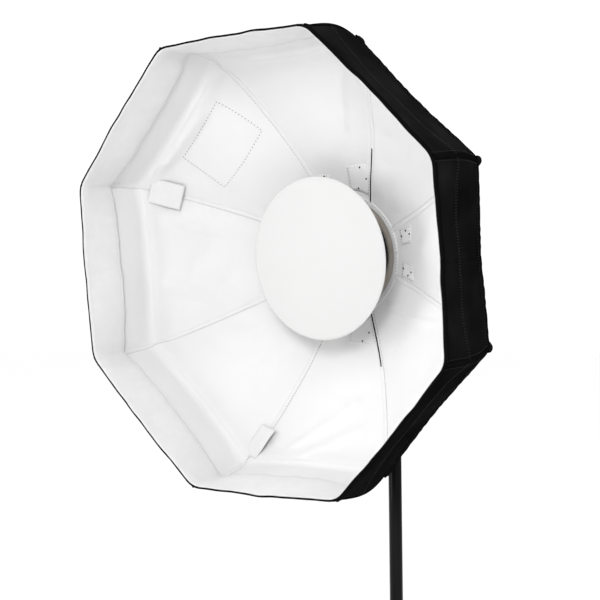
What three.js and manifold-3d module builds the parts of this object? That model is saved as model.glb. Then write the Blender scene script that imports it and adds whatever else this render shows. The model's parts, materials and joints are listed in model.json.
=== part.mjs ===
// Octagonal studio softbox with a central deflector disc, on its speed ring, tilting bracket and low
// folding stand. Millimetres, +Z up. The softbox faces -Y and its axis is tipped a little below the
// horizon. It is modelled in a frame of its own: the speed ring's front face is at y = 0, and the light
// leaves along -Y.

import * as THREE from "three";
import { mergeVertices } from "three/addons/utils/BufferGeometryUtils.js";
import Module from "manifold-3d";

const wasm = await Module();
wasm.setup();

// ---------- driving dimensions ----------

const OCTAGON_SIDES = 8;
const CORNER_ANGLE = Math.PI / OCTAGON_SIDES; // half the angle that one side covers

const RIM_ACROSS_FLATS = 762; // thirty inches, the nominal size of the softbox
const RIM_DEPTH = 300; // from the front rim back to the speed ring's front face
const BAND_WIDTH = 72; // the white band inside the front rim
const CLOTH = 2; // thickness of each cloth shell

const RIB_RADIUS = 2.5;
const RIB_START = { r: 104, y: 5 }; // where a rib enters the speed ring
const REAR_CORNER = { r: 400, y: -146 }; // where the ribs' arc ends, at a rear corner of the cloth
const RIB_SETBACK = 18; // a rib's end stops this far short of the corner, and its cap takes up part of that
const RIB_IN_SOCKET = 12; // how far a rib reaches past its start, into its socket in the speed ring
const RIB_SAG = 18.6; // how far a bent rib bows out from its chord
const RIB_TO_CLOTH = 7; // from the rib's axis to the cloth's outer face

const RING_BORE = 80;
const RING_RADIUS = 106;
const RING_THICKNESS = 14;
const CLOTH_HOLE = 98; // the cloth's hole over the speed ring
const ADAPTER_BORE = 50; // the light head's mouth enters here
const RUNNING_GAP = 0.7; // between the speed ring and the adapter it turns on
const GAP = 0.3; // between pieces that touch
const SCREW_REST = 0.6; // between a clamping screw's end and the tube or rod it presses on
const ROUND_RING = 40; // facets round the ring and the adapter
const ROUND_DISC = 48;

const DEFLECTOR_RADIUS = 145;
const DEFLECTOR_THICKNESS = 3;
const DEFLECTOR_FRONT = -101;
const DEFLECTOR_ROD_ANGLES = [60, 180, 300]; // round the axis, from +X towards +Z
const DEFLECTOR_ROD_CIRCLE = 86;
const DEFLECTOR_ROD_RADIUS = 3;

const TILT_DOWN = 5.3; // degrees that the softbox points below the horizon
const PIVOT = { y: 120, z: -138 }; // tilt axis, in the softbox's frame
const PIVOT_HEIGHT = 660; // tilt axis above the floor

const STUD_RADIUS = 7.95; // standard 5/8 inch lighting stud
const RISER_RADIUS = 10;
const RISER_WALL = 1.5;
const COLUMN_RADIUS = 12.5;
const COLUMN_WALL = 1.8;
const COLUMN_TOP = 440;
const HUB_TOP = 82;
const LEG_PIN_CIRCLE = 44;
const LEG_REACH = 350; // from a leg's pin to its foot
const LEG_WIDTH = 30;
const LEG_BOTTOM = 23;
const LEG_THICKNESS = 12;

// ---------- materials ----------

const paint = (color, roughness, metalness = 0) =>
  new THREE.MeshStandardMaterial({ color, roughness, metalness });
const whiteCloth = paint(0xf4f4f2, 0.7);
const blackCloth = paint(0x161616, 0.85);
const whiteDisc = paint(0xf6f6f5, 0.5);
const castAluminium = paint(0xb9b0a6, 0.45, 0.8);
const blackMetal = paint(0x151515, 0.4, 0.5);
const blackPlastic = paint(0x1a1a1a, 0.55);
const steel = paint(0xc2c3c5, 0.3, 1);
const rubber = paint(0x111111, 0.9);

// ---------- helpers ----------

const radians = THREE.MathUtils.degToRad;

function solidOf(geometry) {
  const plain = (geometry.index ? geometry.toNonIndexed() : geometry).clone();
  plain.deleteAttribute("normal");
  plain.deleteAttribute("uv");
  const merged = mergeVertices(plain, 1e-3);
  return new wasm.Manifold(
    new wasm.Mesh({
      numProp: 3,
      vertProperties: merged.attributes.position.array,
      triVerts: new Uint32Array(merged.index.array),
    }),
  );
}

function geometryOf(solid) {
  const { vertProperties, triVerts } = solid.getMesh();
  return new THREE.BufferGeometry()
    .setAttribute("position", new THREE.BufferAttribute(vertProperties, 3))
    .setIndex(new THREE.BufferAttribute(triVerts, 1));
}

// The first geometry joined with the rest of `added`, and cut by everything in `cut`.
function combine(added, cut = []) {
  const joined = added.map(solidOf).reduce((a, b) => a.add(b));
  return geometryOf(cut.map(solidOf).reduce((a, b) => a.subtract(b), joined));
}

// A ring or a turned piece round the Y axis, from a closed outline of [radius, y] pairs.
function turned(outline, segments = 24, firstCorner = 0) {
  const points = outline.map(([r, y]) => new THREE.Vector2(r, y));
  if (!THREE.ShapeUtils.isClockWise(points)) points.reverse();
  points.push(points[0].clone());
  points.reverse();
  return new THREE.LatheGeometry(points, segments, firstCorner);
}

const octagonal = (outline) => turned(outline, OCTAGON_SIDES, CORNER_ANGLE);

// Turned about the Z axis instead, from [radius, z] pairs.
const turnedUp = (outline, segments = 24) => turned(outline, segments).rotateX(Math.PI / 2);

// A tube or rod along one axis, between two places on it.
function rod(axis, from, to, radius, segments = 20) {
  const geometry = new THREE.CylinderGeometry(radius, radius, Math.abs(to - from), segments);
  if (axis === "x") geometry.rotateZ(Math.PI / 2);
  if (axis === "z") geometry.rotateX(Math.PI / 2);
  const middle = ["x", "y", "z"].map((name) => (name === axis ? (from + to) / 2 : 0));
  return geometry.translate(...middle);
}

// A box from its lowest to its highest corner.
function block([x0, y0, z0], [x1, y1, z1]) {
  const box = new THREE.BoxGeometry(x1 - x0, y1 - y0, z1 - z0);
  return box.translate((x0 + x1) / 2, (y0 + y1) / 2, (z0 + z1) / 2);
}

// A knob's outline with round lobes, extruded along +Z from z = 0.
function lobedKnob(lobes, radius, lobeDepth, thickness) {
  const shape = new THREE.Shape();
  const steps = lobes * 6;
  for (let i = 0; i < steps; i++) {
    const angle = (i / steps) * 2 * Math.PI;
    const r = radius - lobeDepth * (0.5 - 0.5 * Math.cos(lobes * angle));
    if (i === 0) shape.moveTo(r, 0);
    else shape.lineTo(r * Math.cos(angle), r * Math.sin(angle));
  }
  return new THREE.ExtrudeGeometry(shape, { depth: thickness, bevelEnabled: false });
}

// A clamping knob along +Z: its screw starts at z = 0, and its neck stands just clear of the casting.
function clampKnob(screwRadius, castingFace, headRadius, headThickness, lobes = 5) {
  const NECK = 3;
  const neckStart = castingFace + GAP;
  const headStart = neckStart + NECK;
  return combine([
    rod("z", 0, headStart, screwRadius, 14),
    rod("z", neckStart, headStart + 1, headRadius * 0.55, 20),
    lobedKnob(lobes, headRadius, headRadius * 0.22, headThickness).translate(0, 0, headStart),
  ]);
}

const object = new THREE.Group();
const softbox = new THREE.Group();

function place(parent, name, geometry, material) {
  const mesh = new THREE.Mesh(geometry, material);
  mesh.name = name;
  parent.add(mesh);
  return mesh;
}

// ---------- the bent ribs, and the arc that they and the cloth follow ----------

const chord = Math.hypot(REAR_CORNER.r - RIB_START.r, REAR_CORNER.y - RIB_START.y);
const arcRadius = chord ** 2 / (8 * RIB_SAG) + RIB_SAG / 2;
const outwards = { r: (RIB_START.y - REAR_CORNER.y) / chord, y: (REAR_CORNER.r - RIB_START.r) / chord };
const arcCentre = {
  r: (RIB_START.r + REAR_CORNER.r) / 2 - outwards.r * (arcRadius - RIB_SAG),
  y: (RIB_START.y + REAR_CORNER.y) / 2 - outwards.y * (arcRadius - RIB_SAG),
};
const arcAngleOf = ({ r, y }) => Math.atan2(y - arcCentre.y, r - arcCentre.r);
const ARC_START = arcAngleOf(RIB_START);
const ARC_END = arcAngleOf(REAR_CORNER);
const arcLength = arcRadius * (ARC_START - ARC_END);

// The point at a share t of the way along the arc, moved in towards the front by `inset`.
function onArc(t, inset = 0) {
  const angle = THREE.MathUtils.lerp(ARC_START, ARC_END, t);
  const radius = arcRadius - inset;
  return [arcCentre.r + radius * Math.cos(angle), arcCentre.y + radius * Math.sin(angle)];
}

class RibCurve extends THREE.Curve {
  constructor(around, from, to) {
    super();
    Object.assign(this, { around, from, to });
  }

  getPoint(t) {
    const [r, y] = onArc(THREE.MathUtils.lerp(this.from, this.to, t));
    return new THREE.Vector3(r * Math.cos(this.around), y, r * Math.sin(this.around));
  }
}

const cornerAngles = Array.from({ length: OCTAGON_SIDES }, (_, i) => CORNER_ANGLE * (1 + 2 * i));

// The ends of a rib, as shares of the arc.
const RIB_FROM = -RIB_IN_SOCKET / arcLength;
const RIB_TO = 1 - RIB_SETBACK / arcLength;

function roundSection(radius, sides) {
  const shape = new THREE.Shape();
  for (let i = 0; i < sides; i++) {
    const angle = (i / sides) * 2 * Math.PI;
    if (i === 0) shape.moveTo(radius, 0);
    else shape.lineTo(radius * Math.cos(angle), radius * Math.sin(angle));
  }
  return shape;
}

function addRibs() {
  const CAP_RADIUS = 5.6;
  const CAP_LENGTH = 24;
  const CAP_WALL = 3;
  cornerAngles.forEach((around, i) => {
    const extrudePath = new RibCurve(around, RIB_FROM, RIB_TO);
    const rib = new THREE.ExtrudeGeometry(roundSection(RIB_RADIUS, 8), { steps: 12, extrudePath });
    place(softbox, `rib_${i + 1}`, rib, steel);

    const [tipR, tipY] = onArc(RIB_TO);
    const cap = turned(
      [
        [0, 0],
        [CAP_RADIUS * 0.7, 0],
        [CAP_RADIUS, -2],
        [CAP_RADIUS, -CAP_LENGTH],
        [RIB_RADIUS + GAP * 2, -CAP_LENGTH],
        [RIB_RADIUS + GAP * 2, -CAP_WALL],
        [0, -CAP_WALL],
      ],
      12,
    );
    const mesh = place(softbox, `rib_cap_${i + 1}`, cap, blackPlastic);
    const reach = CAP_WALL + GAP * 2;
    const angle = THREE.MathUtils.lerp(ARC_START, ARC_END, RIB_TO);
    const along = new THREE.Vector3(
      Math.sin(angle) * Math.cos(around),
      -Math.cos(angle),
      Math.sin(angle) * Math.sin(around),
    );
    mesh.position.set(tipR * Math.cos(around), tipY, tipR * Math.sin(around)).addScaledVector(along, reach);
    mesh.quaternion.setFromUnitVectors(new THREE.Vector3(0, 1, 0), along);
  });
}

// ---------- cloth ----------

const RIM_RADIUS = RIM_ACROSS_FLATS / 2 / Math.cos(CORNER_ANGLE);
const [REAR_RADIUS, REAR_Y] = onArc(1, RIB_TO_CLOTH); // rear corner of the cloth, outer face
const SEAM_GAP = 0.5;
const wallRadius = (y) => THREE.MathUtils.mapLinear(y, REAR_Y, -RIM_DEPTH, REAR_RADIUS, RIM_RADIUS);

// A wedge along the axis that holds what lies between two corners, apart from half a gap at each seam.
function sector(middle) {
  const REACH = 450;
  const inset = GAP / 2 / Math.sin(CORNER_ANGLE);
  const wedge = new THREE.Shape();
  wedge.moveTo(inset * Math.cos(middle), inset * Math.sin(middle));
  for (const around of [middle - CORNER_ANGLE, middle + CORNER_ANGLE]) {
    wedge.lineTo(
      inset * Math.cos(middle) + REACH * Math.cos(around),
      inset * Math.sin(middle) + REACH * Math.sin(around),
    );
  }
  const geometry = new THREE.ExtrudeGeometry(wedge, { depth: RIM_DEPTH + 50, bevelEnabled: false });
  return geometry.rotateX(Math.PI / 2).translate(0, 50, 0);
}

function addCloth() {
  const ARC_STEPS = 7;
  const DOME_START = 0.02; // as a share of the arc
  const outer = [];
  const inner = [];
  for (let i = 0; i <= ARC_STEPS; i++) {
    const t = THREE.MathUtils.lerp(DOME_START, 1, i / ARC_STEPS);
    outer.push(onArc(t, RIB_TO_CLOTH));
    inner.push(onArc(t, RIB_TO_CLOTH + CLOTH));
  }
  const HEM = { width: 7, back: -1 };
  const hem = [
    [CLOTH_HOLE + HEM.width, HEM.back],
    [CLOTH_HOLE, HEM.back],
    [CLOTH_HOLE, HEM.back - CLOTH],
    [CLOTH_HOLE + HEM.width, HEM.back - CLOTH],
  ];
  const back = solidOf(octagonal([...outer.reverse(), ...hem, ...inner]));
  for (let i = 0; i < OCTAGON_SIDES; i++) {
    const gore = back.intersect(solidOf(sector((i * 2 * Math.PI) / OCTAGON_SIDES)));
    place(softbox, `back_panel_${i + 1}`, geometryOf(gore), blackCloth);
  }

  const wallBack = REAR_Y - SEAM_GAP - CLOTH;
  place(
    softbox,
    "side_wall",
    octagonal([
      [wallRadius(wallBack), wallBack],
      [RIM_RADIUS, -RIM_DEPTH],
      [RIM_RADIUS - CLOTH, -RIM_DEPTH],
      [wallRadius(wallBack) - CLOTH, wallBack],
    ]),
    blackCloth,
  );

  const BAND_STEP = 5; // how far the band's rear edge stands in from the wall
  const bandBack = -RIM_DEPTH + BAND_WIDTH;
  const bandFront = -RIM_DEPTH + 1;
  const bandFrontRadius = wallRadius(bandFront) - CLOTH - 1;
  const bandBackRadius = wallRadius(bandBack) - CLOTH - BAND_STEP;
  place(
    softbox,
    "front_band",
    octagonal([
      [bandFrontRadius, bandFront],
      [bandFrontRadius - CLOTH, bandFront],
      [bandBackRadius - CLOTH, bandBack],
      [bandBackRadius, bandBack],
    ]),
    whiteCloth,
  );

  const BINDING = 4;
  place(
    softbox,
    "rim_binding",
    octagonal([
      [RIM_RADIUS + 1.5, -RIM_DEPTH - GAP],
      [RIM_RADIUS + 1.5, -RIM_DEPTH - BINDING],
      [RIM_RADIUS - 6, -RIM_DEPTH - BINDING],
      [RIM_RADIUS - 6, -RIM_DEPTH - GAP],
    ]),
    blackCloth,
  );
}

// Cloth tags sewn over the ribs' seams, inside the back. `share` is where along the seam the tag's middle
// is, from the speed ring to the rear corner.
const TAG_THICKNESS = 1.2;
const TAG_CLEARANCE = 2;
const TAGS = [
  { name: "seam_tag", corner: 157.5, share: 0.86, width: 48, length: 64 },
  { name: "side_tag", corner: 247.5, share: 0.875, width: 34, length: 64 },
];

function addTags() {
  for (const { name, corner, share, width, length } of TAGS) {
    const around = radians(corner);
    const lift = (width / 2) * Math.tan(CORNER_ANGLE) + TAG_CLEARANCE;
    const [r, y] = onArc(share, RIB_TO_CLOTH + CLOTH + lift);
    const [nextR, nextY] = onArc(share + 0.01, RIB_TO_CLOTH + CLOTH + lift);
    const radial = new THREE.Vector3(Math.cos(around), 0, Math.sin(around));
    const across = new THREE.Vector3(-Math.sin(around), 0, Math.cos(around));
    const slope = radial.clone().multiplyScalar(nextR - r).setY(nextY - y).normalize();
    const normal = new THREE.Vector3().crossVectors(slope, across);
    const tag = place(softbox, name, new THREE.BoxGeometry(width, TAG_THICKNESS, length), whiteCloth);
    tag.position.copy(radial).multiplyScalar(r).setY(y);
    tag.quaternion.setFromRotationMatrix(new THREE.Matrix4().makeBasis(across, normal, slope));
  }
}

// ---------- speed ring and adapter ----------

function addSpeedRing() {
  const SOCKET_RADIUS = 5;
  const SOCKET_LENGTH = 16;
  const ring = turned(
    [
      [RING_BORE, 0],
      [RING_RADIUS, 0],
      [RING_RADIUS, RING_THICKNESS],
      [RING_BORE, RING_THICKNESS],
    ],
    ROUND_RING,
  );
  const sockets = [];
  const holes = [];
  for (const around of cornerAngles) {
    const ribAxis = new THREE.Vector3(
      Math.sin(ARC_START) * Math.cos(around),
      -Math.cos(ARC_START),
      Math.sin(ARC_START) * Math.sin(around),
    );
    const turn = new THREE.Quaternion().setFromUnitVectors(new THREE.Vector3(0, 1, 0), ribAxis);
    const [x, z] = [RIB_START.r * Math.cos(around), RIB_START.r * Math.sin(around)];
    const along = (geometry) => geometry.applyQuaternion(turn).translate(x, RIB_START.y, z);
    sockets.push(along(rod("y", -4, SOCKET_LENGTH - 4, SOCKET_RADIUS, 10)));
    holes.push(along(rod("y", -15, SOCKET_LENGTH, RIB_RADIUS + 0.5, 8)));
  }
  const rodHoles = DEFLECTOR_ROD_ANGLES.map((angle) => {
    const around = radians(angle);
    const x = DEFLECTOR_ROD_CIRCLE * Math.cos(around);
    const z = DEFLECTOR_ROD_CIRCLE * Math.sin(around);
    return rod("y", -1, 9, DEFLECTOR_ROD_RADIUS + GAP, 12).translate(x, 0, z);
  });
  place(softbox, "speed_ring", combine([ring, ...sockets], [...holes, ...rodHoles]), castAluminium);
}

const FLANGE_FRONT = RING_THICKNESS + 1.5;
const FLANGE_BACK = FLANGE_FRONT + 6;
const FLANGE_RADIUS = 104;
const LOCK_KNOB = { angle: 120, circle: 92, screw: 3 };

function addAdapter() {
  const sleeve = RING_BORE - RUNNING_GAP;
  const LIP = { inner: 72, outer: RING_BORE + 1.5, front: -1.8 };
  const body = turned(
    [
      [ADAPTER_BORE, 2],
      [LIP.inner, 2],
      [LIP.inner, LIP.front],
      [LIP.outer, LIP.front],
      [LIP.outer, -GAP],
      [sleeve, -GAP],
      [sleeve, FLANGE_FRONT],
      [FLANGE_RADIUS, FLANGE_FRONT],
      [FLANGE_RADIUS, FLANGE_BACK],
      [70, FLANGE_BACK],
      [70, 8],
      [ADAPTER_BORE, 8],
    ],
    ROUND_RING,
  );
  const lockX = LOCK_KNOB.circle * Math.cos(radians(LOCK_KNOB.angle));
  const lockZ = LOCK_KNOB.circle * Math.sin(radians(LOCK_KNOB.angle));
  const lockHole = rod("y", FLANGE_FRONT - 1, FLANGE_BACK + 1, LOCK_KNOB.screw + GAP, 16);
  place(softbox, "ring_adapter", combine([body], [lockHole.translate(lockX, 0, lockZ)]), blackMetal);

  const knob = clampKnob(LOCK_KNOB.screw, 6.5, 11, 12).rotateX(-Math.PI / 2);
  place(softbox, "ring_lock_knob", knob, blackPlastic).position.set(lockX, FLANGE_FRONT - 0.5, lockZ);
}

// ---------- deflector ----------

function addDeflector() {
  const back = DEFLECTOR_FRONT + DEFLECTOR_THICKNESS;
  const disc = turned(
    [
      [0, DEFLECTOR_FRONT],
      [DEFLECTOR_RADIUS - 1.5, DEFLECTOR_FRONT],
      [DEFLECTOR_RADIUS, DEFLECTOR_FRONT + 1.5],
      [DEFLECTOR_RADIUS - 1.5, back],
      [0, back],
    ],
    ROUND_DISC,
  );
  place(softbox, "deflector_disc", disc, whiteDisc);

  const ROD_END = -70;
  const SLEEVE_RADIUS = 6.5;
  const SLEEVE_BACK = -45;
  const SCREW_AT = -53;
  const SCREW_RADIUS = 2;
  const HUB_DISC = 22;
  const ARM = { halfWidth: 6, thickness: 4 };
  const armFront = back + GAP;
  const armBack = armFront + ARM.thickness;
  const parts = [rod("y", armFront, armBack, HUB_DISC, 24)];
  const bores = [];
  DEFLECTOR_ROD_ANGLES.forEach((angle, i) => {
    const around = radians(angle);
    const x = DEFLECTOR_ROD_CIRCLE * Math.cos(around);
    const z = DEFLECTOR_ROD_CIRCLE * Math.sin(around);
    const outward = new THREE.Vector3(Math.cos(around), 0, Math.sin(around));
    const arm = block([0, armFront, -ARM.halfWidth], [DEFLECTOR_ROD_CIRCLE, armBack, ARM.halfWidth]);
    parts.push(arm.rotateY(-around));
    parts.push(rod("y", armFront, SLEEVE_BACK, SLEEVE_RADIUS, 16).translate(x, 0, z));
    bores.push(rod("y", armBack + 0.2, SLEEVE_BACK + 1, DEFLECTOR_ROD_RADIUS + GAP, 12).translate(x, 0, z));
    const screwHole = rod("x", DEFLECTOR_ROD_CIRCLE, DEFLECTOR_ROD_CIRCLE + 10, SCREW_RADIUS + GAP, 10);
    bores.push(screwHole.translate(0, SCREW_AT, 0).rotateY(-around));

    const bar = rod("y", ROD_END, 8.5, DEFLECTOR_ROD_RADIUS, 12).translate(x, 0, z);
    place(softbox, `deflector_rod_${i + 1}`, bar, steel);

    const sleeveFace = SLEEVE_RADIUS - DEFLECTOR_ROD_RADIUS - SCREW_REST;
    const knob = clampKnob(SCREW_RADIUS, sleeveFace, 6, 8, 6);
    const screw = place(softbox, `deflector_screw_${i + 1}`, knob, blackPlastic);
    screw.position.copy(outward).multiplyScalar(DEFLECTOR_ROD_CIRCLE + DEFLECTOR_ROD_RADIUS + SCREW_REST);
    screw.position.y = SCREW_AT;
    screw.quaternion.setFromUnitVectors(new THREE.Vector3(0, 0, 1), outward);
  });
  place(softbox, "deflector_spider", combine(parts, bores), blackMetal);
}

// ---------- tilting bracket ----------

const EAR_INSIDE = 14.5;
const EAR_THICKNESS = 6;
const BOLT_RADIUS = 4;
const BOLT_HOLE = BOLT_RADIUS + GAP;
const ARM_UNDER = PIVOT.z + 20;
const EAR_RADIUS = 18;
const PLATE_THICKNESS = 6;
const PLATE_TOP = -70;

function addBracket() {
  const outside = EAR_INSIDE + EAR_THICKNESS;
  const plateFront = FLANGE_BACK + GAP;
  const plateBack = plateFront + PLATE_THICKNESS;
  const ear = (x0, x1) => [
    block([x0, PIVOT.y - EAR_RADIUS, PIVOT.z], [x1, PIVOT.y + EAR_RADIUS, ARM_UNDER + 1]),
    rod("x", x0, x1, EAR_RADIUS, 24).translate(0, PIVOT.y, PIVOT.z),
  ];
  const body = [
    block([-outside, plateFront, ARM_UNDER], [outside, plateBack, PLATE_TOP]),
    block([-outside, plateFront, ARM_UNDER], [outside, PIVOT.y + EAR_RADIUS, ARM_UNDER + PLATE_THICKNESS]),
    ...ear(EAR_INSIDE, outside),
    ...ear(-outside, -EAR_INSIDE),
  ];
  const boltHole = rod("x", -outside - 1, outside + 1, BOLT_HOLE, 16).translate(0, PIVOT.y, PIVOT.z);
  place(softbox, "tilt_bracket", combine(body, [boltHole]), blackMetal);

  const BOLT_END = 12; // beyond the ear, inside the lever's hub
  const bolt = combine([
    rod("x", -outside - 1, outside + BOLT_END, BOLT_RADIUS, 16),
    rod("x", -outside - 6, -outside - GAP, 8, 6),
  ]);
  place(softbox, "tilt_bolt", bolt.translate(0, PIVOT.y, PIVOT.z), steel);

  const LEVER_LENGTH = 62;
  const LEVER_TURN = -115; // degrees from upright, so that it hangs back and down
  const hubStart = outside + GAP;
  const hubEnd = hubStart + 15;
  const gripStart = hubStart + 7;
  const lever = combine(
    [
      rod("x", hubStart, hubEnd, 10, 20),
      block([gripStart, -5, 0], [hubEnd, 5, LEVER_LENGTH]),
      rod("x", gripStart, hubEnd, 8, 20).translate(0, 0, LEVER_LENGTH),
    ],
    [rod("x", hubStart - 1, outside + BOLT_END + GAP, BOLT_HOLE, 16)],
  ).rotateX(radians(LEVER_TURN));
  place(softbox, "tilt_lever", lever.translate(0, PIVOT.y, PIVOT.z), blackPlastic);
}

// ---------- tilt head, riser and column: upright, on the stand's own axis ----------

const RECEIVER_RADIUS = 17;
const RECEIVER_TOP = PIVOT_HEIGHT - 22;
const RECEIVER_BOTTOM = PIVOT_HEIGHT - 78;
const RECEIVER_BORE = STUD_RADIUS + 0.35;
const STUD_TOP = RECEIVER_BOTTOM + 44;
const RECEIVER_KNOB_HEIGHT = RECEIVER_BOTTOM + 24;

function addHead() {
  const tongue = EAR_INSIDE - GAP;
  const head = combine(
    [
      rod("x", -tongue, tongue, 15, 24).translate(0, 0, PIVOT_HEIGHT),
      block([-tongue, -11, RECEIVER_TOP - 2], [tongue, 11, PIVOT_HEIGHT]),
      rod("z", RECEIVER_BOTTOM, RECEIVER_TOP, RECEIVER_RADIUS, 28),
    ],
    [
      rod("x", -tongue - 1, tongue + 1, BOLT_HOLE, 16).translate(0, 0, PIVOT_HEIGHT),
      rod("z", RECEIVER_BOTTOM - 1, STUD_TOP + 1.5, RECEIVER_BORE, 24),
      rod("y", 0, RECEIVER_RADIUS + 2, 4 + GAP, 14).translate(0, 0, RECEIVER_KNOB_HEIGHT),
    ],
  );
  place(object, "tilt_head", head, blackMetal);

  const screwEnd = STUD_RADIUS + SCREW_REST;
  const knob = clampKnob(4, RECEIVER_RADIUS - screwEnd, 15, 13).rotateX(-Math.PI / 2);
  place(object, "receiver_knob", knob, blackPlastic).position.set(0, screwEnd, RECEIVER_KNOB_HEIGHT);
}

const COLLAR_BOTTOM = COLUMN_TOP - 24;
const COLLAR_TOP = COLUMN_TOP + 28;
const COLLAR_KNOB_HEIGHT = COLUMN_TOP + 14;
const STUD_FLANGE = RECEIVER_BOTTOM - GAP;
const STUD_FLANGE_THICKNESS = 9;
const RISER_TOP = STUD_FLANGE - STUD_FLANGE_THICKNESS;
const RISER_BOTTOM = 250;
const COLUMN_BOTTOM = 25;
const COLLAR_BOSS_FACE = 26; // from the stand's axis to the boss that the knob is in
const HUB_BOSS_FACE = 25;
const CLAMP_SCREW = 3.5; // radius

// The square boss of a clamping knob, behind the stand's axis.
const clampBoss = (half, from, face, height) =>
  block([-half, from, height - half], [half, face, height + half]);

function addColumn() {
  const PLUG = { radius: RISER_RADIUS - RISER_WALL - GAP, length: 25 }; // the stud's end inside the riser
  const FLANGE = 13;
  const studOutline = [
    [0, RISER_TOP - PLUG.length],
    [PLUG.radius, RISER_TOP - PLUG.length],
    [PLUG.radius, RISER_TOP + GAP],
    [FLANGE, RISER_TOP + GAP],
    [FLANGE, STUD_FLANGE],
    [STUD_RADIUS, STUD_FLANGE],
    [STUD_RADIUS, RECEIVER_KNOB_HEIGHT - 7],
    [STUD_RADIUS - 1, RECEIVER_KNOB_HEIGHT - 5],
    [STUD_RADIUS - 1, RECEIVER_KNOB_HEIGHT + 5],
    [STUD_RADIUS, RECEIVER_KNOB_HEIGHT + 7],
    [STUD_RADIUS, STUD_TOP - 1.5],
    [STUD_RADIUS - 1.5, STUD_TOP],
    [0, STUD_TOP],
  ];
  place(object, "stud", turnedUp(studOutline, 24), steel);

  const tube = (outer, wall, from, to) =>
    turnedUp([
      [outer, from],
      [outer, to],
      [outer - wall, to],
      [outer - wall, from],
    ]);
  place(object, "riser", tube(RISER_RADIUS, RISER_WALL, RISER_BOTTOM, RISER_TOP), blackMetal);
  place(object, "column", tube(COLUMN_RADIUS, COLUMN_WALL, COLUMN_BOTTOM, COLUMN_TOP), blackMetal);

  const COLLAR_RADIUS = 19.5;
  const SLIDING_BORE = RISER_RADIUS + 0.4;
  const screwHole = rod("y", RISER_RADIUS, COLLAR_BOSS_FACE + 1, CLAMP_SCREW + GAP, 14);
  const collar = combine(
    [
      turnedUp([
        [COLUMN_RADIUS + GAP, COLLAR_BOTTOM],
        [COLLAR_RADIUS - 1.5, COLLAR_BOTTOM],
        [COLLAR_RADIUS, COLLAR_BOTTOM + 3],
        [COLLAR_RADIUS, COLLAR_TOP - 6],
        [COLLAR_RADIUS - 3.5, COLLAR_TOP],
        [SLIDING_BORE, COLLAR_TOP],
        [SLIDING_BORE, COLUMN_TOP + GAP],
        [COLUMN_RADIUS + GAP, COLUMN_TOP + GAP],
      ]),
      clampBoss(9, COLLAR_RADIUS - 4.5, COLLAR_BOSS_FACE, COLLAR_KNOB_HEIGHT),
    ],
    [screwHole.translate(0, 0, COLLAR_KNOB_HEIGHT)],
  );
  place(object, "column_collar", collar, blackPlastic);

  const screwEnd = RISER_RADIUS + SCREW_REST;
  const knob = clampKnob(CLAMP_SCREW, COLLAR_BOSS_FACE - screwEnd, 16, 13).rotateX(-Math.PI / 2);
  place(object, "collar_knob", knob, blackPlastic).position.set(0, screwEnd, COLLAR_KNOB_HEIGHT);
}

// ---------- low folding base ----------

const LEG_TOP = LEG_BOTTOM + LEG_THICKNESS;
const LEGS = [
  { name: "front", towards: 270, fixed: true },
  { name: "right", towards: 30 },
  { name: "left", towards: 150 },
];
const LEG_PIN_RADIUS = 4;

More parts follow.
